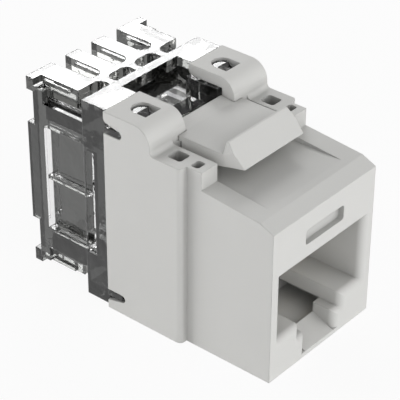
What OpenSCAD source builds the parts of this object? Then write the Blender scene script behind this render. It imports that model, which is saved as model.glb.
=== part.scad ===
// Keystone jack: a snap-in eight-way plug socket with a clear wire-lacing fixture at its back.
// Every module works from the front face (y = 0) with the base at z = 0; placed() then centres the length.

/* [Bezel] */
// Width of the front part that shows through the panel
bezel_w = 14.5; // [14:0.1:15]
// Length of the bezel in front of the block
bezel_l = 9.44; // [9.2:0.02:9.7]
// Drop from the shoulders beside the latch to the top of the face
face_drop = 2.94; // [2.8:0.02:3.1]
// Length of the sloped lead-in above the face
chamfer_l = 1.48; // [1:0.02:2]
// Rise of the sloped lead-in
chamfer_rise = 0.64; // [0.4:0.02:0.8]
// Rise of the side rails from the lead-in to the block
rail_rise = 0.72; // [0.5:0.02:0.9]
// Width of the blank marker recess in the face
marker_w = 5.4; // [4:0.1:7]
// Height of the blank marker recess
marker_h = 1.48; // [1:0.02:2]
// Depth of the blank marker recess
marker_depth = 0.55; // [0.3:0.05:1]

/* [Block] */
// How far the block stands out beyond the bezel on each side
block_step = 0.81; // [0.7:0.01:1]
// Length of the block
block_l = 8.81; // [8.6:0.01:9.2]
// Length of the shoulder posts in front of the block
post_l = 1.64; // [1.4:0.02:1.9]
// Radius on the block's upright front edges
block_edge_r = 0.5; // [0.2:0.05:0.7]
// Thickness of the block's side walls behind the board
block_wall = 0.9; // [0.7:0.05:1]
// Thickness of the block's floor
block_floor = 1; // [0.8:0.05:1.1]

/* [Ears] */
// Height of the ears above the base
ear_h = 20.82; // [20.6:0.02:21.2]
// Height of the ears above the shoulders
ear_rise = 2.44; // [2.3:0.02:2.6]
// Distance from the block's front to the ears' front wall
ear_set = 3.46; // [3.3:0.02:3.6]
// How far each ear reaches in over the latch
ear_lap = 1.01; // [0.8:0.01:1.2]
// Radius of the rolled front edge of the ears
ear_roll_r = 1.8; // [1.4:0.05:1.9]
// Thickness of the arms that reach back over the fixture
arm_t = 1.1; // [0.9:0.05:1.2]
// Depth of the upright part of each ear
ear_post_l = 1.45; // [1.4:0.01:1.5]
// Width of the snap window in each ear
window_w = 2.02; // [1.8:0.02:2.2]
// Distance from the block's side to the middle of a snap window
window_set = 2.63; // [2.5:0.01:2.8]
// Length of the arm behind a snap window
window_wall = 1.2; // [1:0.05:1.4]

/* [Plug port] */
// Width of the bezel's wall beside the plug opening
port_wall = 1.35; // [1.25:0.01:1.4]
// Height of the brow between the opening and the top of the face
brow_h = 4.54; // [4.4:0.02:4.7]
// Height of the first ledge above the base
ledge_h = 3.95; // [3.8:0.05:4.1]
// Width of the first ledge
ledge_run = 2.88; // [2.7:0.02:3]
// Drop from the first ledge to the second
ledge_drop = 1.5; // [1.4:0.05:1.6]
// Width of the second ledge
low_ledge_run = 0.92; // [0.8:0.02:1]
// Thickness of the lip under the opening at the face
lip_t = 0.45; // [0.35:0.05:0.6]
// Rise of the lip towards its inner end
lip_rise = 1; // [0.8:0.05:1.2]
// Depth of the lip and of the second ledge
lip_l = 2.4; // [2:0.05:2.8]
// Thickness of the wall behind the port, in front of the ears
port_end_wall = 0.6; // [0.5:0.05:0.8]
// Radius of the soft edge around the opening
flare_r = 0.7; // [0.4:0.05:0.7]

/* [Release latch] */
// Width of each rail beside the latch slot
slot_rail_w = 2.1; // [2:0.05:2.3]
// Gap between the latch and the slot's sides
latch_side_gap = 0.8; // [0.6:0.05:1]
// Depth of the latch slot below the shoulders
slot_depth = 2.23; // [2.1:0.01:2.4]
// Gap below the latch that it moves down in
latch_gap = 1.2; // [1.1:0.05:1.4]
// Thickness of the latch plate
latch_t = 1.52; // [1.3:0.02:1.6]
// Rise of the catch's ridge above the plate
catch_rise = 1.17; // [0.9:0.01:1.4]
// Distance from the ears back to the catch's ridge
ridge_set = 5.15; // [5:0.05:5.3]
// Length of the catch's front slope
catch_l = 2.07; // [1.8:0.01:2.3]
// Height of the latch tip above the plate's underside
tip_rise = 0.67; // [0.5:0.01:0.8]
// How much narrower the catch is at its ridge
ridge_taper = 0.35; // [0.2:0.01:0.5]
// Radius of the latch pivot
pivot_r = 0.4; // [0.35:0.01:0.42]
// Running clearance around the latch pivot
pivot_gap = 0.05; // [0.03:0.01:0.06]

/* [Contacts] */
// Distance between neighbouring plug contacts
contact_pitch = 1.016; // [1.016]
// Width of a contact wire
wire_w = 0.46; // [0.4:0.02:0.5]
// Thickness of a contact wire
wire_t = 0.3; // [0.25:0.01:0.35]
// Droop of a contact arm below level, in degrees
arm_droop = 30; // [28:1:32]
// Radius of the rolled end that an arm swings on
bead_r = 0.3; // [0.28:0.01:0.32]
// Running clearance around the rolled ends
bead_gap = 0.04; // [0.03:0.01:0.05]
// Distance from the front face to the contact carrier
carrier_front = 4.55; // [4.4:0.05:4.7]
// Thickness of the contact carrier
carrier_t = 3; // [2.8:0.05:3.2]

/* [Board and terminals] */
// Thickness of the circuit board
board_t = 1.2; // [1:0.05:1.3]
// Gap between the board's edges and the block's walls
board_side_gap = 0.56; // [0.4:0.02:0.7]
// Thickness of a wire terminal
terminal_t = 0.4; // [0.3:0.02:0.5]
// Width of a wire terminal
terminal_w = 1.9; // [1.8:0.05:2]
// Width of the slit that grips a wire
terminal_slit = 0.4; // [0.3:0.02:0.5]

/* [Lacing fixture] */
// How far the fixture's front ring stands in from the block's sides
ring_inset = 0.26; // [0.2:0.02:0.4]
// Length of the fixture's front ring
ring_l = 2.8; // [2.6:0.05:3]
// Height of the ring's underside above the base
ring_low = 0.2; // [0.1:0.05:0.3]
// Thickness of the ring's top and bottom
ring_t = 1.12; // [1:0.02:1.2]
// Depth of the pocket between the ears
pocket_depth = 3.02; // [2.9:0.02:3.1]
// Step from the ears down to the upper comb
comb_drop = 0.18; // [0.1:0.02:0.3]
// Height of the lower comb's underside above the base
comb_low = 0.85; // [0.6:0.05:1]
// Thickness of the combs
comb_t = 1.3; // [1.1:0.05:1.4]
// Length of the combs
comb_l = 7; // [6.6:0.05:7.4]
// Width of the gaps between the comb's fingers
gap_w = 1.8; // [1.6:0.05:2]
// Width of the two outer fingers
edge_finger_w = 2.26; // [2.1:0.02:2.4]
// How far the comb stands in from the ring's sides
comb_inset = 1.2; // [1:0.05:1.4]
// How far the tip bars stand in from the ring's sides
tip_inset = 0.18; // [0.1:0.02:0.3]
// Length of the outward tip bars
tip_l = 0.9; // [0.7:0.05:1]
// Width of the long slots across the comb's root
slot_w = 1.7; // [1.5:0.05:1.8]
// Width of the webs between the long slots
web_w = 0.7; // [0.6:0.05:0.9]
// How far the wire ribs stand out of the fingers
rib_out = 0.35; // [0.2:0.05:0.45]
// How far the side rails stand in from the ring's sides
rail_inset = 0.1; // [0.05:0.05:0.2]
// Thickness of the side panels
panel_t = 0.6; // [0.5:0.05:0.7]

/* [Hidden] */
$fn = 48;

// One overrun serves every cut and every overlap
over = 0.05;
// Bare clearance between pieces that are pushed together
fit_gap = 0.1;

// Main stations across, up and along the jack
block_w = bezel_w + 2 * block_step;
bezel_half = bezel_w / 2;
block_half = block_w / 2;
block_inner = block_half - block_wall;
shoulder_h = ear_h - ear_rise;
face_h = shoulder_h - face_drop;
block_front = bezel_l;
block_rear = block_front + block_l;
post_front = block_front - post_l;
ear_front = block_front + ear_set;
ear_post_rear = ear_front + ear_post_l;
ring_rear = block_rear + ring_l;
overall_l = ring_rear + comb_l;
rail_start_z = face_h + chamfer_rise;
rail_end_z = rail_start_z + rail_rise;
rail_slope = rail_rise / (block_front - chamfer_l);

// Plug port
port_w = bezel_w - 2 * port_wall;
port_top = face_h - brow_h;
port_depth = ear_front - port_end_wall;
channel_w = port_w - 2 * ledge_run;
low_ledge_h = ledge_h - ledge_drop;
key_w = channel_w - 2 * low_ledge_run;
chamber_inset = 1.3;
chamber_w = port_w - 2 * chamber_inset;
chamber_floor = 0.9;
chamber_l = 4.8;
// Marker recess
marker_gap = 1.28;
marker_z = port_top + marker_gap;
marker_r = 0.3;

// Latch slot
latch_slot_w = bezel_w - 2 * slot_rail_w;
latch_w = latch_slot_w - 2 * latch_side_gap;
latch_half = latch_w / 2;
slot_half = latch_slot_w / 2;
slot_end_r = latch_side_gap / 2;
slot_end_y = ear_front - slot_end_r;
latch_floor = shoulder_h - slot_depth;
latch_under = latch_floor + latch_gap;
latch_top = latch_under + latch_t;
ridge_h = latch_top + catch_rise;
ridge_y = ear_front - ridge_set;
ridge_w = latch_w - 2 * ridge_taper;
tip_y = ridge_y - catch_l;
tip_h = latch_under + tip_rise;
tip_taper = 0.27;
tip_w_low = latch_w - 2 * tip_taper;
// Latch: the pivot, the tongue between the ears and the catch
pivot_set = 0.7;
pivot_drop = 0.92;
pivot_y = ear_front + pivot_set;
pivot_z = latch_top - pivot_drop;
pivot_out = 1.2;
barrel_r = 0.75;
tongue_step = 0.18;
tongue_top = latch_top + tongue_step;
tongue_seat_gap = 0.25;
tongue_seat = pivot_z - barrel_r - tongue_seat_gap;
ridge_land = 0.2;
catch_lean = 0.13;
latch_rear_gap = 0.08;
latch_rear_lean = 0.12;
under_ramp_l = 3.7;
under_ramp_y = ear_front - under_ramp_l;
under_ramp_share = [[0.43, 0.31], [0.76, 0.66]];

// Shoulder pockets: sizes, places and depths
pocket_in = 1.2;
pocket_x = slot_half + pocket_in;
big_pocket = [1.4, 1.5];
big_pocket_set = 1.66;
big_pocket_y = block_front + big_pocket_set;
big_pocket_depth = 1.5;
small_pocket = [1.1, 0.86];
small_pocket_set = 0.51;
small_pocket_y = block_front - small_pocket_set;
small_pocket_depth = 1.2;
pocket_r = 0.28;
// Ears and their snap windows
ear_in = latch_half - ear_lap;
tongue_half = ear_in - fit_gap;
roll_y = ear_front + ear_roll_r;
roll_z = ear_h - ear_roll_r;
arm_under = ear_h - arm_t;
foot_r = 0.45;
arm_tip_r = 0.5;
window_x = block_half - window_set;
window_step = 0.4;
window_front = ear_post_rear + window_step;
window_straight = block_rear - window_wall - window_w / 2 - window_front;
// Slots in the block's sides, open to the rear
side_slot_l = 1.7;
side_slot_r = 0.4;
side_slot_flare = 0.4;
high_slot_drop = 1.77;
high_slot_z = ear_h - high_slot_drop;
low_slot_z = 1.65;
// Hidden groove for the panel's lower edge
groove_l = 1.5;
groove_depth = 1.1;
groove_inset = 1.65;
groove_w = bezel_w - 2 * groove_inset;
groove_y = post_front;

// Contacts and their carrier
contact_count = 8;
contact_span = contact_pitch * (contact_count - 1);
bead_set = 0.75;
bead_rise = 0.8;
bead_y = carrier_front + bead_set;
bead_z = port_top + bead_rise;
bead_w = 0.84;
carrier_gap = 0.05;
carrier_w = port_w - 2 * carrier_gap;
carrier_rear = ear_post_rear + carrier_gap;
carrier_top = port_top + carrier_t;
arm_slot_w = 0.62;
arm_slot_lead = 0.45;
arm_slot_front = bead_y - arm_slot_lead;
arm_slot_rear = port_depth - 2 * fit_gap;
arm_slot_top = bead_z + bead_r + bead_gap;
arm_end_gap = 0.5;
arm_l = arm_slot_rear - bead_y - arm_end_gap;
lead_front = carrier_front + arm_slot_lead;
lead_rise = 2;
lead_z = port_top + lead_rise;
lead_groove_w = 0.54;
lead_out = 0.3;

// Board and terminal block, stacked behind the carrier
board_front = carrier_rear;
board_rear = board_front + board_t;
board_w = 2 * (block_inner - board_side_gap);
board_rise = 0.4;
board_low = block_floor + board_rise;
board_drop = 3.82;
board_top = ear_h - board_drop;
board_hole_r = 0.33;
tail_hole_r = 0.4;
pocket_floor = ear_h - pocket_depth;
pocket_floor_t = 0.6;
inner_block_w = 2 * (block_inner - fit_gap);
inner_block_rear = block_rear - fit_gap;
inner_block_low = block_floor + fit_gap / 2;
inner_block_top = pocket_floor - pocket_floor_t - fit_gap;
tail_pocket = [8.4, 0.5, 1.4];

// Fixture: front ring and the pocket between the ears
ring_w = block_w - 2 * ring_inset;
ring_half = ring_w / 2;
ring_wall = 0.9;
pocket_lap = 0.36;
pocket_half = ear_in + pocket_lap;
pocket_rear_wall = 1.05;
pocket_rear = ring_rear - pocket_rear_wall;
pocket_reach = 2.25;
pocket_front = block_rear - pocket_reach;
pocket_wall = 0.8;
// Fixture: arms and noses that snap below the ears
arm_inset = 0.34;
tongue_in = ear_in - arm_inset;
arm_front_gap = 0.25;
fixture_arm_front = ear_post_rear + arm_front_gap;
fixture_arm_top = arm_under - fit_gap;
nose_gap = 0.13;
nose_drop = 0.22;
nose_top = ear_h - nose_drop;
nose_front = window_front + nose_gap;
nose_slope = 1.35;
nose_ridge = window_front + nose_slope;
rib_y = block_rear - side_slot_l;
rib_t = 0.55;
rib_reach = 0.08;
high_rib_z = high_slot_z - side_slot_r + over;
low_rib_z = low_slot_z - side_slot_r + 2 * over;
// Fixture: slit between the front post and the side panel
slit_set = 1.55;
slit_front = block_rear + slit_set;
strip_t = 0.35;
slit_end_gap = 0.25;
slit_rear = ring_rear - slit_end_gap;
slit_rise = 4.7;
slit_drop = 5.02;
slit_low = ring_low + slit_rise;
slit_top = ear_h - slit_drop;
// Fixture: combs
comb_front = ring_rear - over;
comb_top = ear_h - comb_drop;
comb_mid = (comb_top + comb_low) / 2;
comb_w = ring_w - 2 * comb_inset;
tip_w = ring_w - 2 * tip_inset;
slot_set = 0.7;
slot_r = slot_w / 2;
slot_y = ring_rear + slot_set;
gap_web = 0.6;
gap_y = slot_y + slot_r + gap_web + gap_w / 2;
finger_pitch = comb_w / 2 - edge_finger_w - gap_w / 2;
rib_back = 0.6;
rib_end = 1.45;
rib_front = gap_y - rib_back;
rib_rear = overall_l - rib_end;
comb_rib_t = 0.35;
comb_rib_drop = 0.15;
// Fixture: side rails, posts and panels
rail_half = ring_half - rail_inset;
rail_base_drop = 4.44;
rail_base_z = comb_top - rail_base_drop;
rail_base_t = 0.6;
rail_rim_h = 2.3;
rail_top_z = rail_base_z + rail_rim_h;
rail_t = 0.5;
lip_rim_h = 2.8;
lip_top_z = rail_base_z + lip_rim_h;
lip_wall = 0.35;
trough_w = 1.8;
trough_in = rail_half - trough_w;
trough_wall = 0.6;
post_w = 1.4;
post_in = rail_half - post_w;
post_gap = 0.85;
post_l_rear = 1.2;
rear_post_rear = overall_l - post_gap;
rear_post_front = rear_post_rear - post_l_rear;
panel_set = 1.5;
panel_in = rail_half - panel_set;
ledge_out = 0.6;
ledge_t = 0.4;
flange_w = 0.8;
flange_in = rail_half - flange_w;
flange_set = [4.85, 4.64];
flange_z = [comb_low + flange_set[0], comb_top - flange_set[1]];
cross_wall_t = 0.45;
cross_wall_front = slot_y + slot_r + over;

// Wire terminals, spread evenly between the side panels and just inside the troughs
terminal_side_gap = 0.09;
terminal_rail_gap = 0.155;
terminal_pitch = (panel_in - terminal_side_gap - terminal_w / 2) / 1.5;
terminal_high_z = rail_base_z - terminal_rail_gap - terminal_t / 2;
terminal_low_z = 2 * comb_mid - terminal_high_z;
terminal_tail = 0.5;
terminal_reach = 1.35;
terminal_tip_y = ring_rear + terminal_reach;
terminal_slit_l = 2.8;
terminal_neck_y = board_rear + tail_pocket[1];

// Box between two corners
module slab(x0, x1, y0, y1, z0, z1) {
    translate([x0, y0, z0]) cube([x1 - x0, y1 - y0, z1 - z0]);
}

// Box centred on the middle plane
module mid_slab(half, y0, y1, z0, z1) {
    slab(-half, half, y0, y1, z0, z1);
}

// The same shape on both sides of the middle plane
module pair() {
    children();
    mirror([1, 0, 0]) children();
}

// Outline in y and z, run along x
module along_x(x0, x1) {
    translate([x0, 0, 0]) rotate([90, 0, 90]) linear_extrude(x1 - x0) children();
}

// Outline in x and z, run along y
module along_y(y0, y1) {
    translate([0, y1, 0]) rotate([90, 0, 0]) linear_extrude(y1 - y0) children();
}

// Outline in x and y, run up z
module along_z(z0, z1) {
    translate([0, 0, z0]) linear_extrude(z1 - z0) children();
}

// Round bar along x
module rod(x0, x1, y, z, r) {
    translate([x0, y, z]) rotate([0, 90, 0]) cylinder(r = r, h = x1 - x0);
}

// Rectangle with round corners, about its own centre
module round_rect(size, r) {
    square([size[0] - 2 * r, size[1]], center = true);
    square([size[0], size[1] - 2 * r], center = true);
    for (sx = [-1, 1], sy = [-1, 1]) {
        translate([sx * (size[0] / 2 - r), sy * (size[1] / 2 - r)]) circle(r = r);
    }
}

// Moves a piece from the front-face datum to the middle of the length
module placed() {
    translate([0, -overall_l / 2, 0]) children();
}

// Mirrors a shape about a level plane
module flipped(z) {
    translate([0, 0, 2 * z]) mirror([0, 0, 1]) children();
}

// Front housing

module bezel_body() {
    along_x(-bezel_half, bezel_half) polygon([
        [0, 0],
        [0, face_h],
        [chamfer_l, rail_start_z],
        [block_front, rail_end_z],
        [block_front + over, rail_end_z],
        [block_front + over, 0]]);
}

module block_plan() {
    difference() {
        translate([-block_half, block_front]) square([block_w, block_l]);
        pair() translate([block_half - block_edge_r, block_front - over]) {
            difference() {
                square([block_edge_r + over, block_edge_r + over]);
                translate([0, block_edge_r + over]) circle(r = block_edge_r);
            }
        }
    }
}

module ear_profile() {
    square_from([ear_front, roll_z - ear_roll_r], [ear_post_rear, roll_z]);
    intersection() {
        translate([roll_y, roll_z]) circle(r = ear_roll_r);
        square_from([ear_front, roll_z - over], [roll_y, ear_h]);
    }
    square_from([roll_y - over, arm_under], [block_rear - arm_tip_r, ear_h]);
    square_from([block_rear - arm_tip_r - over, arm_under + arm_tip_r], [block_rear, ear_h]);
    translate([block_rear - arm_tip_r, arm_under + arm_tip_r]) circle(r = arm_tip_r);
    square_from([ear_post_rear - over, roll_z - over], [roll_y, ear_h - ear_roll_r / 2]);
}

module square_from(a, b) {
    translate(a) square([b[0] - a[0], b[1] - a[1]]);
}

module ear_foot() {
    difference() {
        square_from([ear_front - foot_r, shoulder_h - over], [ear_front + over, shoulder_h + foot_r]);
        translate([ear_front - foot_r, shoulder_h + foot_r]) circle(r = foot_r);
    }
}

module ears() {
    pair() {
        along_x(ear_in, block_half) ear_profile();
        along_x(slot_half, block_half) ear_foot();
        slab(block_inner, block_half, ear_post_rear - over, block_rear, arm_under - ear_roll_r, arm_under + over);
    }
}

module port_cut() {
    mid_slab(port_w / 2, -over, port_depth, ledge_h, port_top);
    mid_slab(channel_w / 2, -over, port_depth, low_ledge_h, ledge_h + over);
    mid_slab(chamber_w / 2, lip_l, lip_l + chamber_l, chamber_floor, low_ledge_h);
    along_x(-key_w / 2, key_w / 2) polygon([
        [-over, lip_t],
        [0, lip_t],
        [lip_l, lip_t + lip_rise],
        [lip_l + over, lip_t + lip_rise],
        [lip_l + over, low_ledge_h + over],
        [-over, low_ledge_h + over]]);
}

// Quarter-round flare of one upright edge, whose wall stands at x = half
module side_flare(half, z0, z1) {
    pair() along_z(z0, z1) difference() {
        translate([half - over, -over]) square([flare_r + over, flare_r + over]);
        translate([half + flare_r, flare_r]) circle(r = flare_r);
    }
}

// Flare around an outer corner of the opening, where a side meets a ledge
module corner_flare(x, z) {
    pair() translate([x, 0, z]) rotate([-90, 0, 0]) rotate_extrude(angle = 90) difference() {
        translate([0, -over]) square([flare_r, flare_r + over]);
        translate([flare_r, flare_r]) circle(r = flare_r);
    }
}

// Quarter-round flare of one level edge, whose ledge lies at height z
module ledge_flare(x0, x1, z) {
    pair() along_x(x0, x1) difference() {
        translate([-over, z - flare_r]) square([flare_r + over, flare_r + over]);
        translate([flare_r, z - flare_r]) circle(r = flare_r);
    }
}

module port_flare() {
    side_flare(port_w / 2, ledge_h, port_top);
    side_flare(channel_w / 2, low_ledge_h, ledge_h);
    side_flare(key_w / 2, lip_t, low_ledge_h);
    ledge_flare(channel_w / 2, port_w / 2, ledge_h);
    ledge_flare(key_w / 2, channel_w / 2, low_ledge_h);
    corner_flare(port_w / 2, ledge_h);
    corner_flare(channel_w / 2, low_ledge_h);
}

module marker_recess() {
    along_y(-over, marker_depth) translate([0, marker_z + marker_h / 2]) {
        round_rect([marker_w, marker_h], marker_r);
    }
}

// Plan of the slot around the latch, with round rear ends beside it
module latch_slot_plan() {
    slot_front = chamfer_l + (latch_floor - rail_start_z) / rail_slope;
    square_from([-slot_half, slot_front], [slot_half, slot_end_y]);
    square_from([-latch_half, slot_end_y - over], [latch_half, ear_front]);
    for (side = [-1, 1]) translate([side * (slot_half - slot_end_r), slot_end_y]) circle(r = slot_end_r);
}

module latch_slot_cut() {
    along_z(latch_floor, ear_h) latch_slot_plan();
    mid_slab(ear_in, ear_front - over, ear_post_rear + over, tongue_seat, ear_h);
    pair() rod(tongue_half, ear_in + pivot_out, pivot_y, pivot_z, pivot_r + pivot_gap);
}

module shoulder_pockets() {
    pair() {
        along_z(shoulder_h - big_pocket_depth, shoulder_h + over) {
            translate([pocket_x, big_pocket_y]) round_rect(big_pocket, pocket_r);
        }
        along_z(shoulder_h - small_pocket_depth, shoulder_h + over) {
            translate([pocket_x, small_pocket_y]) round_rect(small_pocket, pocket_r);
        }
    }
}

module window_plan(grow) {
    translate([window_x - window_w / 2 - grow, window_front - grow]) {
        square([window_w + 2 * grow, window_straight + grow]);
    }
    translate([window_x, window_front + window_straight]) circle(r = window_w / 2 + grow);
}

module snap_windows() {
    pair() along_z(arm_under - over, ear_h + over) window_plan(0);
}

module side_slot_profile() {
    translate([block_rear - side_slot_l, 0]) circle(r = side_slot_r);
    polygon([
        [block_rear - side_slot_l, -side_slot_r],
        [block_rear + over, -side_slot_r],
        [block_rear + over, side_slot_r + side_slot_flare],
        [block_rear - side_slot_l, side_slot_r]]);
}

module side_slots() {
    pair() along_x(block_inner - over, block_half + over) {
        translate([0, high_slot_z]) side_slot_profile();
        translate([0, low_slot_z]) mirror([0, 1]) side_slot_profile();
    }
}

module rear_cavity() {
    mid_slab(block_inner, ear_post_rear, block_rear + over, block_floor, arm_under);
    mid_slab(ear_in, ear_post_rear, block_rear + over, block_floor, ear_h);
}

module carrier_pocket() {
    mid_slab(port_w / 2, carrier_front - carrier_gap, ear_post_rear + over, port_top - over, carrier_top);
}

module front_housing() {
    color([0.86, 0.86, 0.85]) placed() difference() {
        union() {
            bezel_body();
            along_z(0, shoulder_h) block_plan();
            pair() slab(slot_half, bezel_half, post_front, block_front + over, face_h, shoulder_h);
            ears();
        }
        port_cut();
        port_flare();
        marker_recess();
        latch_slot_cut();
        shoulder_pockets();
        snap_windows();
        side_slots();
        rear_cavity();
        carrier_pocket();
        mid_slab(groove_w / 2, groove_y, groove_y + groove_l, -over, groove_depth);
    }
}

// Release latch

// Side view of the plate and its catch
module latch_profile() {
    ramp = [for (s = under_ramp_share) [
        tip_y + s[0] * (under_ramp_y - tip_y),
        tip_h - s[1] * (tip_h - latch_under)]];
    latch_rear = ear_front - latch_rear_gap;
    polygon(concat(
        [[tip_y, tip_h],
         [ridge_y - ridge_land, ridge_h],
         [ridge_y, ridge_h],
         [ridge_y + catch_lean, latch_top],
         [latch_rear, latch_top],
         [latch_rear - latch_rear_lean, latch_under],
         [under_ramp_y, latch_under]],
        [for (i = [len(ramp) - 1:-1:0]) ramp[i]]));
}

// Side view of the tongue that passes between the ears
module tongue_profile() {
    latch_rear = ear_front - latch_rear_gap - latch_rear_lean;
    polygon([
        [latch_rear - over, latch_top],
        [ear_front, latch_top],
        [ear_post_rear, tongue_top],
        [ear_post_rear, pivot_z],
        [pivot_y, pivot_z - barrel_r + over],
        [latch_rear - over, latch_under]]);
    translate([pivot_y, pivot_z]) circle(r = barrel_r);
}

// Plan and front view limits that taper the catch
module catch_limits() {
    intersection() {
        along_z(latch_under - over, ridge_h + over) polygon([
            [-tip_w_low / 2, tip_y],
            [tip_w_low / 2, tip_y],
            [latch_half, ridge_y],
            [latch_half, ear_front],
            [-latch_half, ear_front],
            [-latch_half, ridge_y]]);
        along_y(tip_y - over, ear_front) polygon([
            [-latch_half, latch_under - over],
            [latch_half, latch_under - over],
            [latch_half, latch_top],
            [ridge_w / 2, ridge_h],
            [-ridge_w / 2, ridge_h],
            [-latch_half, latch_top]]);
    }
}

module release_latch() {
    color([0.8, 0.8, 0.79]) placed() {
        intersection() {
            along_x(-latch_half, latch_half) latch_profile();
            catch_limits();
        }
        along_x(-tongue_half, tongue_half) tongue_profile();
        rod(-ear_in - pivot_out + fit_gap, ear_in + pivot_out - fit_gap, pivot_y, pivot_z, pivot_r);
    }
}

// Contact carrier, contacts and leads

function contact_x(i) = (i - 1) * contact_pitch - contact_span / 2;

module contact_carrier() {
    color([0.16, 0.16, 0.17]) placed() difference() {
        mid_slab(carrier_w / 2, carrier_front, carrier_rear, port_top, carrier_top);
        rod(-contact_span / 2 - bead_w / 2, contact_span / 2 + bead_w / 2, bead_y, bead_z, bead_r + bead_gap);
        for (i = [1:contact_count]) translate([contact_x(i), 0, 0]) {
            mid_slab(arm_slot_w / 2, arm_slot_front, arm_slot_rear, port_top - over, arm_slot_top);
            mid_slab(lead_groove_w / 2, carrier_front - over, carrier_rear + over,
                lead_z - wire_t / 2, carrier_top + over);
        }
    }
}

module plug_contact(i) {
    color([0.83, 0.66, 0.3]) placed() translate([contact_x(i), bead_y, bead_z]) {
        rod(-bead_w / 2, bead_w / 2, 0, 0, bead_r);
        rotate([-arm_droop, 0, 0]) {
            mid_slab(wire_w / 2, 0, arm_l, -wire_t / 2, wire_t / 2);
            rod(-wire_w / 2, wire_w / 2, arm_l, 0, wire_t / 2);
        }
    }
}

module contact_lead(i) {
    color([0.83, 0.66, 0.3]) placed() translate([contact_x(i), 0, lead_z]) {
        mid_slab(wire_w / 2, lead_front, board_rear + lead_out, -wire_t / 2, wire_t / 2);
        rod(-wire_w / 2, wire_w / 2, lead_front, 0, wire_t / 2);
    }
}

// Board, terminal block and wire terminals

function terminal_x(i) = ((i - 1) % 4 - 1.5) * terminal_pitch;
function terminal_z(i) = i <= 4 ? terminal_high_z : terminal_low_z;

module circuit_board() {
    color([0.1, 0.25, 0.16]) placed() difference() {
        mid_slab(board_w / 2, board_front, board_rear, board_low, board_top);
        for (i = [1:contact_count]) {
            translate([contact_x(i), board_front - over, lead_z]) {
                rotate([-90, 0, 0]) cylinder(r = board_hole_r, h = board_t + 2 * over);
            }
            translate([terminal_x(i), board_front - over, terminal_z(i)]) {
                rotate([-90, 0, 0]) cylinder(r = tail_hole_r, h = board_t + 2 * over);
            }
        }
    }
}

module terminal_block() {
    color([0.2, 0.2, 0.21]) placed() difference() {
        mid_slab(inner_block_w / 2, board_rear, inner_block_rear, inner_block_low, inner_block_top);
        mid_slab(tail_pocket[0] / 2, board_rear - over, board_rear + tail_pocket[1],
            lead_z - tail_pocket[2] / 2, lead_z + tail_pocket[2] / 2);
        for (i = [1:contact_count]) translate([terminal_x(i), 0, terminal_z(i)]) {
            mid_slab(terminal_w / 2 + over, board_rear - over, inner_block_rear + over,
                -terminal_t / 2, terminal_t / 2 + over);
        }
    }
}

// Flat fork whose slit is open to the rear
module terminal_plan() {
    difference() {
        union() {
            square_from([-terminal_tail / 2, board_front + over], [terminal_tail / 2, terminal_neck_y + over]);
            square_from([-terminal_w / 2, terminal_neck_y], [terminal_w / 2, terminal_tip_y]);
        }
        square_from([-terminal_slit / 2, terminal_tip_y - terminal_slit_l], [terminal_slit / 2, terminal_tip_y + over]);
        translate([0, terminal_tip_y - terminal_slit_l]) circle(r = terminal_slit);
        polygon([
            [-terminal_slit, terminal_tip_y + over],
            [0, terminal_tip_y - 2 * terminal_slit],
            [terminal_slit, terminal_tip_y + over]]);
    }
}

module wire_terminal(i) {
    color([0.78, 0.79, 0.8]) placed() translate([terminal_x(i), 0, terminal_z(i)]) {
        along_z(-terminal_t / 2, terminal_t / 2) terminal_plan();
    }
}

// Lacing fixture

module ring() {
    difference() {
        mid_slab(ring_half, block_rear, ring_rear, ring_low, ear_h);
        mid_slab(ring_half - ring_wall, block_rear - over, ring_rear + over, ring_low + ring_t, ear_h - ring_t);
        mid_slab(pocket_half, block_rear - over, pocket_rear, pocket_floor, ear_h + over);
        mid_slab(ring_half + over, slit_front, slit_rear, slit_low, slit_top);
    }
}

// Pocket floor, its side walls and the bar behind it
module top_pocket() {
    outer = pocket_half + pocket_wall;
    difference() {
        mid_slab(outer, pocket_front, ring_rear, pocket_floor - pocket_floor_t, ear_h - over);
        mid_slab(pocket_half, block_rear, pocket_rear, pocket_floor, ear_h);
        mid_slab(outer + over, pocket_front - over, block_rear, pocket_floor, ear_h);
    }
}

// Arms that slide in below the ears, with the noses that snap into their windows
module snap_arms() {
    pair() {
        slab(tongue_in, block_inner - fit_gap, fixture_arm_front, block_rear + over,
            pocket_floor - pocket_floor_t, fixture_arm_top);
        slab(tongue_in, ring_half, block_rear, block_rear + over, pocket_floor - pocket_floor_t, fixture_arm_top);
        intersection() {
            along_x(window_x - window_w, window_x + window_w) polygon([
                [nose_front, fixture_arm_top - over],
                [nose_ridge, nose_top],
                [block_rear, nose_top],
                [block_rear, fixture_arm_top - over]]);
            along_z(fixture_arm_top - over, nose_top) window_plan(-nose_gap);
        }
    }
}

module guide_ribs() {
    pair() for (z = [high_rib_z, low_rib_z]) {
        slab(block_inner + over, block_half - rib_reach, rib_y, block_rear + over, z, z + rib_t);
    }
}

module comb_plan() {
    difference() {
        union() {
            square_from([-comb_w / 2, comb_front], [comb_w / 2, overall_l]);
            square_from([-tip_w / 2, overall_l - tip_l], [tip_w / 2, overall_l]);
        }
        for (k = [-1:1]) translate([k * finger_pitch, gap_y]) {
            translate([-gap_w / 2, 0]) square([gap_w, comb_l]);
            circle(r = gap_w / 2);
        }
        pair() {
            long_slot(web_w / 2, finger_pitch - web_w / 2);
            long_slot(finger_pitch + web_w / 2, comb_w);
        }
    }
}

// Slot with round ends from x0 to x1 across the comb's root
module long_slot(x0, x1) {
    translate([x0 + slot_r, slot_y - slot_r]) square([x1 - x0 - slot_w, slot_w]);
    translate([x0 + slot_r, slot_y]) circle(r = slot_r);
    translate([x1 - slot_r, slot_y]) circle(r = slot_r);
}

// Left edges of the four fingers, where the wire ribs stand
function finger_edge(k) = k == 0 ? -comb_w / 2 : (k - 2) * finger_pitch + gap_w / 2;

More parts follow.
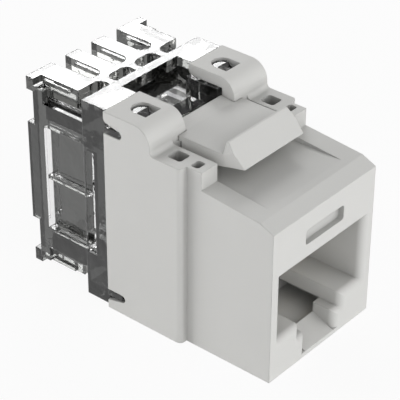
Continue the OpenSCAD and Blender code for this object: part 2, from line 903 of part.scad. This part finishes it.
module upper_comb() {
    along_z(comb_top - comb_t, comb_top) comb_plan();
    for (k = [0:3]) {
        slab(finger_edge(k) - rib_out, finger_edge(k) + over, rib_front, rib_rear,
            comb_top - comb_rib_drop - comb_rib_t, comb_top - comb_rib_drop);
    }
    mid_slab(post_in, cross_wall_front, cross_wall_front + cross_wall_t,
        rail_base_z + rail_base_t, comb_top - comb_t + over);
}

// Trough along each side below the comb
module upper_rails() {
    pair() {
        slab(trough_in, rail_half, ring_rear - over, rear_post_front + over, rail_base_z, rail_base_z + rail_base_t);
        slab(rail_half - rail_t, rail_half, ring_rear - over, rear_post_front + over,
            rail_base_z + rail_base_t - over, rail_top_z);
        slab(rail_half - rail_t - lip_wall, rail_half - rail_t + over, ring_rear - over, rear_post_front + over,
            rail_base_z + rail_base_t - over, lip_top_z);
        slab(trough_in, trough_in + trough_wall, cross_wall_front, rear_post_front + over,
            rail_base_z + rail_base_t - over, comb_top - comb_t + over);
    }
}

module rear_posts() {
    pair() slab(post_in, rail_half, rear_post_front, rear_post_rear, comb_low + comb_t / 2, comb_top - comb_t / 2);
}

module side_panels() {
    panel_low = 2 * comb_mid - rail_base_z - over;
    panel_top = rail_base_z + over;
    pair() {
        slab(panel_in, panel_in + panel_t, ring_rear, rear_post_front + over, panel_low, panel_top);
        slab(panel_in, rail_half, slit_rear, slit_rear + strip_t, slit_low - over, slit_top + over);
        slab(panel_in, panel_in + panel_t, slit_rear, ring_rear + over, slit_low - over, slit_top + over);
        slab(panel_in + panel_t - over, panel_in + panel_t + ledge_out, ring_rear - over, rear_post_front + over,
            comb_mid - ledge_t / 2, comb_mid + ledge_t / 2);
        slab(flange_in, rail_half, rear_post_rear - over, overall_l, flange_z[0], flange_z[1]);
    }
}

module lacing_fixture() {
    color([0.85, 0.88, 0.9, 0.5]) placed() {
        ring();
        top_pocket();
        snap_arms();
        guide_ribs();
        upper_comb();
        upper_rails();
        flipped(comb_mid) upper_comb();
        flipped(comb_mid) upper_rails();
        rear_posts();
        side_panels();
    }
}

front_housing();
release_latch();
contact_carrier();
for (i = [1:contact_count]) {
    plug_contact(i);
    contact_lead(i);
    wire_terminal(i);
}
circuit_board();
terminal_block();
lacing_fixture();
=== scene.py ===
# %% [markdown]
# # A snap-in network jack, dressed for a photograph
# The jack is a few kinds of plastic and a little metal: a pale grey housing with a plug port, a springy
# latch on top, and a clear fixture at the back whose combs hold the wires. Its exact shapes come from the
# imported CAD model, so this lesson looks after what CAD can't give: soft edges, finishes, bent contact wires,
# light and camera.

# %% Load the exact solids
import math

import bpy
from mathutils import Matrix, Vector


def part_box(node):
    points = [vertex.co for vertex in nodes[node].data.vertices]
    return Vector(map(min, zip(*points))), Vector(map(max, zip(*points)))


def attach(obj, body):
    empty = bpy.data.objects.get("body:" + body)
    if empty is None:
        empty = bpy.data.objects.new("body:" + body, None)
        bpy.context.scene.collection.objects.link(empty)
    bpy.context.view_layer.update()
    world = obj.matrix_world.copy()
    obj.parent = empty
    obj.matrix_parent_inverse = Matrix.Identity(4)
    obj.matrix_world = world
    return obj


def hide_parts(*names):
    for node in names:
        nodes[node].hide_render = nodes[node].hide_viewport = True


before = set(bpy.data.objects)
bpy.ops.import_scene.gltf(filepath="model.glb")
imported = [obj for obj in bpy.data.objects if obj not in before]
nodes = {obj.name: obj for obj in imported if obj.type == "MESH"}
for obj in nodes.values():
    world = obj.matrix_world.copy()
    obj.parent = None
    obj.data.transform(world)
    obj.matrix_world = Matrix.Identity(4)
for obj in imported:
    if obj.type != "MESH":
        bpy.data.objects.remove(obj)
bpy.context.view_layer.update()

MM = 0.001


# %% [markdown]
# Materials in Blender are graphs of nodes. Wiring them by hand takes many lines, so one function adds a node
# and wires it, and a small class wraps a socket so that ordinary Python sums add the Math nodes.

# %% A socket that does sums
def add_node(tree, kind, settings=None, values=None, out=0):
    """Add a node, set its options, fill or wire its inputs, and return one of its outputs."""
    node = tree.nodes.new(kind)
    for option, value in (settings or {}).items():
        setattr(node, option, value)
    for socket, value in (values or {}).items():
        if isinstance(value, Sock):
            tree.links.new(value.link, node.inputs[socket])
        else:
            node.inputs[socket].default_value = value
    return Sock(tree, node.outputs[out])


class Sock:
    """A node socket: sums on it add Math nodes to its tree."""

    def __init__(self, tree, link):
        self.tree, self.link = tree, link

    def math(self, operation, a, b=0.0):
        return add_node(self.tree, "ShaderNodeMath", {"operation": operation}, {0: a, 1: b})

    def __abs__(self): return self.math("ABSOLUTE", self)
    def __add__(self, other): return self.math("ADD", self, other)
    def __radd__(self, other): return self.math("ADD", other, self)
    def __rsub__(self, other): return self.math("SUBTRACT", other, self)
    def __mul__(self, other): return self.math("MULTIPLY", self, other)
    def __gt__(self, other): return self.math("GREATER_THAN", self, other)
    def __lt__(self, other): return self.math("LESS_THAN", self, other)


def larger(socket, other):
    """The larger of a socket and another value."""
    return socket.math("MAXIMUM", socket, other)


print("sums on sockets are ready")


# %% [markdown]
# A finish is a material with Blender's Principled shader. Its methods add what this jack needs again and
# again: patches of noise, a blend of two colours, relief, and one axis of a vector. The Mix node has several
# sockets of one name, so its two colours and its result are told by number.

# %% A finish
COLOUR_A, COLOUR_B, COLOUR_OUT = 6, 7, 2


class Finish:
    """A material with a Principled shader, and the nodes that feed it."""

    def __init__(self, name, **fixed):
        self.material = bpy.data.materials.new(name)
        self.material.use_nodes = True
        self.tree = self.material.node_tree
        self.shader = self.tree.nodes["Principled BSDF"]
        for socket, value in fixed.items():
            self.shader.inputs[socket.replace("_", " ")].default_value = value

    def node(self, kind, settings=None, values=None, out=0):
        return add_node(self.tree, kind, settings, values, out)

    def axis(self, vector, name):
        """One axis of a vector."""
        return self.node("ShaderNodeSeparateXYZ", None, {"Vector": vector}, name)

    def noise(self, place, patch_mm, **options):
        """Soft random patches of about this size."""
        size = {"Vector": place, "Scale": 1 / (patch_mm * MM)}
        return self.node("ShaderNodeTexNoise", None, {**size, **options}, "Fac")

    def blend(self, factor, at_zero, at_one):
        """A colour between two. Each is a socket, or red, green, blue and alpha."""
        return self.node("ShaderNodeMix", {"data_type": "RGBA"},
                         {"Factor": factor, COLOUR_A: at_zero, COLOUR_B: at_one}, COLOUR_OUT)

    def relief(self, height, depth_mm, under):
        """The directions under it, tipped by a height map."""
        return self.node("ShaderNodeBump", None,
                         {"Height": height, "Distance": depth_mm * MM, "Normal": under})

    def feed(self, socket, value):
        """Wire a value to the shader."""
        self.tree.links.new(value.link, self.shader.inputs[socket])

    def fed(self, socket):
        """What is wired to the shader there so far."""
        return Sock(self.tree, self.shader.inputs[socket].links[0].from_socket)

    def cover(self, names):
        """Put the finish on CAD pieces."""
        for name in names:
            nodes[name].data.materials.clear()
            nodes[name].data.materials.append(self.material)


print("finishes are ready")


# %% [markdown]
# A moulded edge is never knife sharp. The Bevel node rounds edges in the shading alone: it looks a short
# way round each point and blends the directions of the faces that it finds. The CAD mesh stays as it is,
# every solid gets its soft highlight lines, and a faint noise adds the grain that a steel mould leaves.

# %% Soft edges and mould grain
def surface(finish, edge_mm, grain_mm, grain_depth_mm):
    """Rounded edges plus a fine grain. Returns the place on the piece, for more patterns."""
    place = finish.node("ShaderNodeTexCoord", out="Object")
    grain = finish.noise(place, grain_mm, Detail=3.0, Roughness=0.6)
    edge = finish.node("ShaderNodeBevel", {"samples": 6}, {"Radius": edge_mm * MM})
    finish.feed("Normal", finish.relief(grain, grain_depth_mm, edge))
    return place


def mottled(finish, place, colour, shift, patch_mm):
    """A base colour that drifts a little from place to place. Returns the drift, for the roughness."""
    drift = finish.noise(place, patch_mm)
    darker = [channel * (1 - shift) for channel in colour]
    finish.feed("Base Color", finish.blend(drift, (*darker, 1), (*colour, 1)))
    return drift


print("edge and grain helpers are ready")


# %% [markdown]
# The housing and the latch are one satin moulding in a warm, pale grey. Satin means a roughness near the
# middle, so lamps show as wide soft patches. The roughness wanders slightly, because a real mould wears.
# Recesses of the pale moulding get painted shade: their base colour is darkened, standing in for the shade
# that falls there. An Ambient Occlusion node measures how open the air is: over faces that look up it counts
# every piece, and elsewhere only the moulding itself, so that the floor doesn't darken the sides.

# %% Pale satin plastic
PALE_GREY, RECESS_PAINTED_SHADE = (0.775, 0.773, 0.752), (0.2, 0.2, 0.195, 1)
LOOKS_UP, REACH_UP_MM, REACH_ASIDE_MM = 0.3, 2.6, 4.5
UNSHADED_IN_RECESS = 0.2

pale = Finish("pale_plastic", IOR=1.42)
place = surface(pale, edge_mm=0.16, grain_mm=0.09, grain_depth_mm=0.0022)
drift = mottled(pale, place, PALE_GREY, shift=0.03, patch_mm=3.0)
pale.feed("Roughness", 0.55 + drift * 0.1)


def openness(reach_mm, own_piece_only):
    """One in open air, and less in a recess."""
    return pale.node("ShaderNodeAmbientOcclusion", {"samples": 12, "only_local": own_piece_only},
                     {"Distance": reach_mm * MM}, "AO")


upward = pale.axis(pale.node("ShaderNodeNewGeometry", out="True Normal"), "Z") > LOOKS_UP
open_air = openness(REACH_ASIDE_MM, True) * (1 - upward) + openness(REACH_UP_MM, False) * upward
unshaded_share = UNSHADED_IN_RECESS + open_air * (1 - UNSHADED_IN_RECESS)
# Painted shade: the base colour darkens towards the recess grey wherever the air is less open.
pale.feed("Base Color", pale.blend(unshaded_share, RECESS_PAINTED_SHADE, pale.fed("Base Color")))
pale.cover(("front_housing", "release_latch"))
print("pale plastic on the housing and the latch")


# %% [markdown]
# The rear fixture is clear polycarbonate. Transmission lets light through, and an index of refraction of
# 1.58 bends it, which draws the dark and bright lines along every wall. A slow ripple in the surface breaks
# those lines up, as the flow of a real moulding does. The dark look of the plastic from the side is painted
# shade: faces that look sideways get a dark base colour, the thick outer frames darker than the thin panes
# set in them. Level faces and posts keep no tint, except at the foot, which gets painted shade too. So the
# painted shade depends on where a face looks, how far out it lies and how high it is.

# %% Clear polycarbonate
PANE_PAINTED_SHADE, FRAME_PAINTED_SHADE = (0.16, 0.161, 0.155), (0.045, 0.046, 0.045, 1)
NO_TINT = (0.96, 0.96, 0.96, 1)
SQUARE_ON = 0.7
FRAME_FROM_MM, FOOT_TOP_MM, POST_TOP_MM = 6.5, 3.6, 16
RIPPLE_MM, RIPPLE_DEPTH_MM, LEVEL_CALM = 1.6, 0.09, 0.8

clear = Finish("clear_plastic", IOR=1.58, Transmission_Weight=1.0)
place = surface(clear, edge_mm=0.1, grain_mm=0.6, grain_depth_mm=0.0012)
drift = mottled(clear, place, PANE_PAINTED_SHADE, shift=0.05, patch_mm=4.0)
clear.feed("Roughness", 0.006 + drift * 0.012)

faces = clear.node("ShaderNodeNewGeometry", out="True Normal")
height = clear.axis(place, "Z")
level_face = abs(clear.axis(faces, "Z")) > SQUARE_ON
post_face = (abs(clear.axis(faces, "X")) < SQUARE_ON) * (height < POST_TOP_MM * MM)
see_through = larger(level_face, post_face) * (height > FOOT_TOP_MM * MM)
on_frame = abs(clear.axis(place, "X")) > FRAME_FROM_MM * MM
# Painted shade: sideways faces get a dark base colour, darker on the frames, and so does the foot.
painted_side_shade = clear.blend(on_frame, clear.fed("Base Color"), FRAME_PAINTED_SHADE)
clear.feed("Base Color", clear.blend(see_through, painted_side_shade, NO_TINT))

ripple = clear.noise(place, RIPPLE_MM) * (1 - level_face * LEVEL_CALM)
clear.feed("Normal", clear.relief(ripple, RIPPLE_DEPTH_MM, clear.fed("Normal")))
clear.cover(("lacing_fixture",))
print("clear plastic on the lacing fixture")


# %% [markdown]
# Inside sit a dark carrier for the contacts, a lacquered circuit board and a dark block that grips the
# terminals. They show through the clear fixture and deep in the port, so they get finishes of their own.

# %% Dark plastic and the board
dark = Finish("dark_plastic", IOR=1.48)
place = surface(dark, edge_mm=0.08, grain_mm=0.12, grain_depth_mm=0.003)
drift = mottled(dark, place, (0.06, 0.06, 0.063), shift=0.2, patch_mm=2.0)
dark.feed("Roughness", 0.5 + drift * 0.12)
dark.cover(("contact_carrier", "terminal_block"))

board = Finish("board_lacquer", IOR=1.5, Coat_Weight=0.5, Coat_Roughness=0.15)
place = surface(board, edge_mm=0.05, grain_mm=0.25, grain_depth_mm=0.002)
drift = mottled(board, place, (0.02, 0.085, 0.045), shift=0.25, patch_mm=1.2)
board.feed("Roughness", 0.35 + drift * 0.15)
board.cover(("circuit_board",))
print("dark plastic and board lacquer on three inner pieces")


# %% [markdown]
# The plug contacts are gold-plated spring wire and the wire terminals are tinned bronze. Metals take all
# their colour from Base Color with Metallic at 1. Fine streaks along the wire come from a stretched noise.
# The jack has eight ways, so there are eight of each.

# %% Gold and tin
STREAK_MM, STREAK_STRETCH = 0.8, (6.0, 0.5, 6.0)
WAYS = range(1, 9)


def plate(name, colour, roughness):
    """A plated metal whose roughness is streaked along the wire."""
    metal = Finish(name, Metallic=1.0)
    place = surface(metal, edge_mm=0.05, grain_mm=0.2, grain_depth_mm=0.0015)
    mottled(metal, place, colour, shift=0.08, patch_mm=1.0)
    stretched = metal.node("ShaderNodeMapping", None, {"Vector": place, "Scale": STREAK_STRETCH})
    metal.feed("Roughness", roughness + metal.noise(stretched, STREAK_MM) * 0.14)
    return metal


gold = plate("gold_plate", (0.9, 0.65, 0.26), roughness=0.16)
tin = plate("tin_plate", (0.74, 0.74, 0.75), roughness=0.24)
gold.cover(f"{piece}_{i}" for piece in ("plug_contact", "contact_lead") for i in WAYS)
tin.cover(f"wire_terminal_{i}" for i in WAYS)
print("gold on 8 contacts and their 8 leads, tin on 8 terminals")


# %% [markdown]
# A plug contact is a springy strip of wire. Its front end is rolled round a small barrel that it swings on,
# the strip bows down towards the plug, and its tip turns up so that a plug can't catch it. The CAD solid is
# a straight bar, so a better one is modelled here. It starts from stations along the bow, from roll to tip.
# Each station says how far along the wire it lies, as a share, and how far it stands off the straight line.

# %% Where the first contact lies
ROLL_R, WIRE_W, WIRE_T = 0.3 * MM, 0.46 * MM, 0.3 * MM
BOW_MM = ((0.0, 0.0), (0.12, -0.02), (0.3, -0.07), (0.5, -0.105),
          (0.7, -0.1), (0.85, -0.05), (0.94, 0.01), (1.0, 0.07))

low, high = (Vector(corner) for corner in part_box("plug_contact_1"))
middle_x = (low.x + high.x) / 2
roll = Vector((middle_x, low.y + ROLL_R, high.z - ROLL_R))
tip = Vector((middle_x, high.y - WIRE_T / 2, low.z + WIRE_T / 2))
reach = (tip - roll).length
along = (tip - roll).normalized()
rise = Vector((1, 0, 0)).cross(along)
stations = [roll + along * (reach * share) + rise * (lift * MM) for share, lift in BOW_MM]
droop = math.degrees(math.atan2(-along.z, along.y))
print("contact reach in mm:", round(reach / MM, 2), "droop in degrees:", round(droop, 1))


# %% [markdown]
# The section has to stay square to the wire, so it is turned a little at every station. Two helpers do that:
# one measures how steep a step of the bow is, and one turns whatever is selected about the x axis.

# %% Steepness, and a turn about the x axis
def lean(a, b):
    """The angle of the step from a to b, above level, in radians."""
    return math.atan2(b.z - a.z, b.y - a.y)


def turn_about_x(angle, centre):
    """Turn the selection. With no window the operator turns the other way, so the sign is swapped."""
    bpy.ops.transform.rotate(value=-angle, orient_axis="X", center_override=tuple(centre))


steps = [round(math.degrees(lean(a, b))) for a, b in zip(stations, stations[1:])]
print("steps of the bow in degrees:", steps)


# %% [markdown]
# A small plate with rounded corners is the wire's section. Extruding it from station to station and turning
# it there draws the wire. Two last short steps shrink the section, which rounds the tip.

# %% The wire's section, extruded along the bow
CORNER_R = 0.09 * MM
TIP_STEPS = ((0.07 * MM, 0.8), (0.04 * MM, 0.6))

bpy.ops.object.select_all(action="DESELECT")
bpy.ops.mesh.primitive_plane_add(size=1 * MM, location=(0, 0, 0))
wire = bpy.context.object
bpy.ops.object.mode_set(mode="EDIT")
bpy.ops.mesh.select_all(action="SELECT")
bpy.ops.transform.resize(value=(WIRE_W / MM, WIRE_T / MM, 1), center_override=(0, 0, 0))
bpy.ops.mesh.bevel(offset=CORNER_R, segments=3, affect="VERTICES")
bpy.ops.mesh.select_all(action="SELECT")
heading = lean(stations[0], stations[1])
turn_about_x(heading - math.radians(90), (0, 0, 0))
bpy.ops.transform.translate(value=stations[0])
for k in range(1, len(stations)):
    bpy.ops.mesh.extrude_region_move(TRANSFORM_OT_translate={"value": stations[k] - stations[k - 1]})
    onward = lean(stations[k - 1], stations[min(k + 1, len(stations) - 1)])
    turn_about_x(onward - heading, stations[k])
    heading = onward
end = stations[-1]
ahead = Vector((0, math.cos(heading), math.sin(heading)))
for step, width in TIP_STEPS:
    bpy.ops.mesh.extrude_region_move(TRANSFORM_OT_translate={"value": ahead * step})
    end = end + ahead * step
    bpy.ops.transform.resize(value=(width, width, width), center_override=tuple(end))
bpy.ops.mesh.select_all(action="SELECT")
bpy.ops.mesh.normals_make_consistent(inside=False)
bpy.ops.object.mode_set(mode="OBJECT")
print("wire faces:", len(wire.data.polygons))


# %% [markdown]
# The rolled end is a short barrel with softened rims. It lies exactly where the CAD puts the hinge, so the
# contact swings about the barrel's own middle. Barrel and wire are joined into one piece.

# %% The rolled end
RIM_R = 0.07 * MM

bpy.ops.object.select_all(action="DESELECT")
bpy.ops.mesh.primitive_cylinder_add(vertices=28, radius=ROLL_R, depth=high.x - low.x, location=roll,
                                    rotation=(0, math.radians(90), 0))
barrel = bpy.context.object
bpy.ops.object.transform_apply(location=True, rotation=True, scale=True)
rim = barrel.modifiers.new("rim", "BEVEL")
rim.width, rim.segments, rim.limit_method = RIM_R, 3, "ANGLE"
bpy.ops.object.modifier_apply(modifier="rim")
wire.select_set(True)
bpy.context.view_layer.objects.active = wire
bpy.ops.object.join()
bpy.ops.object.shade_smooth_by_angle(angle=math.radians(40))
wire.data.materials.append(gold.material)
print("contact faces with its barrel:", len(wire.data.polygons))


# %% [markdown]
# All eight contacts are alike, so seven copies are shifted sideways to where CAD has them. Each rides on
# its own hinge and stands in for its CAD bar.

# %% Eight contacts from one
for i in WAYS:
    piece = wire if i == 1 else wire.copy()
    if i > 1:
        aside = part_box(f"plug_contact_{i}")[0][0] - low.x
        piece.data = wire.data.copy()
        piece.data.transform(Matrix.Translation((aside, 0, 0)))
        bpy.context.scene.collection.objects.link(piece)
    piece.name = f"contact_wire_{i}"
    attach(piece, f"contact_{i}")
    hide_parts(f"plug_contact_{i}")
print("eight sprung contacts stand for the CAD bars")


# %% [markdown]
# The camera stands where the photograph's did: its place and turn were solved from the straight edges of
# the housing. A long lens from 16 cm away keeps the gentle perspective of a product photograph.

# %% Camera
AZIMUTH, ELEVATION, TILT = (math.radians(degrees) for degrees in (-49.934, 32.841, 0.27))
CAMERA_PLACE = (-0.1013003, -0.0851791, 0.0950026)
FOCAL_PX, PHOTO_PX, SENSOR_MM = 1726.69, 400, 36.0

back = Vector((math.sin(AZIMUTH) * math.cos(ELEVATION), -math.cos(AZIMUTH) * math.cos(ELEVATION),
               math.sin(ELEVATION)))
sideways = (-back).cross(Vector((0, 0, 1))).normalized()
upright = sideways.cross(-back)
right = sideways * math.cos(TILT) + upright * math.sin(TILT)
up = upright * math.cos(TILT) - sideways * math.sin(TILT)

lens = bpy.data.cameras.new("camera")
lens.sensor_width = SENSOR_MM
lens.lens = FOCAL_PX / PHOTO_PX * SENSOR_MM
lens.clip_start, lens.clip_end = 0.01, 10.0
camera = bpy.data.objects.new("camera", lens)
bpy.context.scene.collection.objects.link(camera)
turn = Matrix((right, up, back)).transposed().to_4x4()
camera.matrix_world = Matrix.Translation(Vector(CAMERA_PLACE)) @ turn
bpy.context.scene.camera = camera
print("lens in mm:", round(lens.lens, 1), "distance in mm:", round(camera.location.length / MM, 1))


# %% [markdown]
# The floor is a wide pale sheet. To the camera most of its light is its own, so it comes out nearly as white
# as paper does in a studio, and the rest still takes the jack's shadow. Glossy and transmission rays see the
# same white, so the clear plastic is clear over white.

# %% Floor
FLOOR_SIZE, FLOOR_DROP = 3.0, 0.02 * MM
PAPER_WHITE, WHITE = (0.86, 0.86, 0.86, 1), (1, 1, 1, 1)
OWN_LIGHT = 0.93


def looked_at(tree):
    """One for rays from the camera, also by way of a mirror or of clear plastic, and zero for the rest."""
    straight, mirrored, through = (add_node(tree, "ShaderNodeLightPath", out=kind) for kind in
                                   ("Is Camera Ray", "Is Glossy Ray", "Is Transmission Ray"))
    return add_node(tree, "ShaderNodeMath", {"operation": "ADD", "use_clamp": True},
                    {0: straight + mirrored, 1: through})


bpy.ops.object.select_all(action="DESELECT")
bpy.ops.mesh.primitive_plane_add(size=FLOOR_SIZE, location=(0, 0, -FLOOR_DROP))
floor = bpy.context.object
floor.name = "floor"
paper = Finish("floor_paper", Base_Color=PAPER_WHITE, Roughness=0.9)
glow = paper.node("ShaderNodeEmission", None, {"Color": WHITE, "Strength": 1.0})
body = Sock(paper.tree, paper.shader.outputs[0])
lit = paper.node("ShaderNodeMixShader", None, {0: looked_at(paper.tree) * OWN_LIGHT, 1: body, 2: glow})
paper.tree.links.new(lit.link, paper.tree.nodes["Material Output"].inputs["Surface"])
floor.data.materials.append(paper.material)
print("floor laid, its own light to the camera:", OWN_LIGHT)


# %% [markdown]
# The sky is white to the same rays. The sky that lights the jack is brightest in front, weaker behind and dim
# overhead, like big diffusers that stand round a table.

# %% Sky
EVEN_LEVEL, OVERHEAD_LOSS = 0.05, 0.68
SIDE_LEVELS = {"front": ("Y", -1.0, 2.4), "rear": ("Y", 1.0, 1.0),
               "left": ("X", -1.0, 0.04), "right": ("X", 1.0, 0.1)}

world = bpy.data.worlds.new("studio")
bpy.context.scene.world = world
world.use_nodes = True
sky = world.node_tree
for node in list(sky.nodes):
    sky.nodes.remove(node)
direction = add_node(sky, "ShaderNodeTexCoord", out="Generated")


def toward(axis, sign):
    """One at the sky's middle on that side, falling to nothing a quarter turn away."""
    return larger(add_node(sky, "ShaderNodeSeparateXYZ", None, {"Vector": direction}, axis) * sign, 0.0)


sky_level = EVEN_LEVEL
for axis, sign, level in SIDE_LEVELS.values():
    sky_level = sky_level + toward(axis, sign) * level
sky_level = sky_level * (1 - toward("Z", 1.0) * OVERHEAD_LOSS)
ambient = add_node(sky, "ShaderNodeBackground", None, {"Color": WHITE, "Strength": sky_level})
plain = add_node(sky, "ShaderNodeBackground", None, {"Color": WHITE, "Strength": 1.0})
mixed = add_node(sky, "ShaderNodeMixShader", None, {0: looked_at(sky), 1: ambient, 2: plain})
sky.links.new(mixed.link, sky.nodes.new("ShaderNodeOutputWorld").inputs["Surface"])
print("sky levels:", {side: level for side, (axis, sign, level) in SIDE_LEVELS.items()})


# %% [markdown]
# One soft box stands high behind the jack on the right, where a mirror lying on the jack's top would show it
# to the camera. It turns the clear plastic's level faces white. A second one stands low at the rear left and
# skims along the side: the block stands a little proud there, so its step throws a soft dark band.

# %% Two soft boxes
JACK_MIDDLE = Vector((0, 0, 10 * MM))


def soft_box(name, place, size, watts):
    """A square area lamp that looks at the jack's middle."""
    lamp = bpy.data.lights.new(name, "AREA")
    lamp.size = size
    lamp.energy = watts
    box = bpy.data.objects.new(name, lamp)
    box.location = place
    box.rotation_euler = (JACK_MIDDLE - Vector(place)).to_track_quat("-Z", "Y").to_euler()
    bpy.context.scene.collection.objects.link(box)


soft_box("key_box", place=(0.386, 0.325, 0.345), size=0.17, watts=0.6)
soft_box("rear_left_box", place=(-0.265, 0.518, 0.145), size=0.28, watts=1.3)
print("two soft boxes are lit")


# %% [markdown]
# The Standard view shows the colours as they were mixed, so whites stay white.

# %% Look
bpy.context.scene.view_settings.view_transform = "Standard"
print("size recorded, look:", bpy.context.scene.view_settings.view_transform)
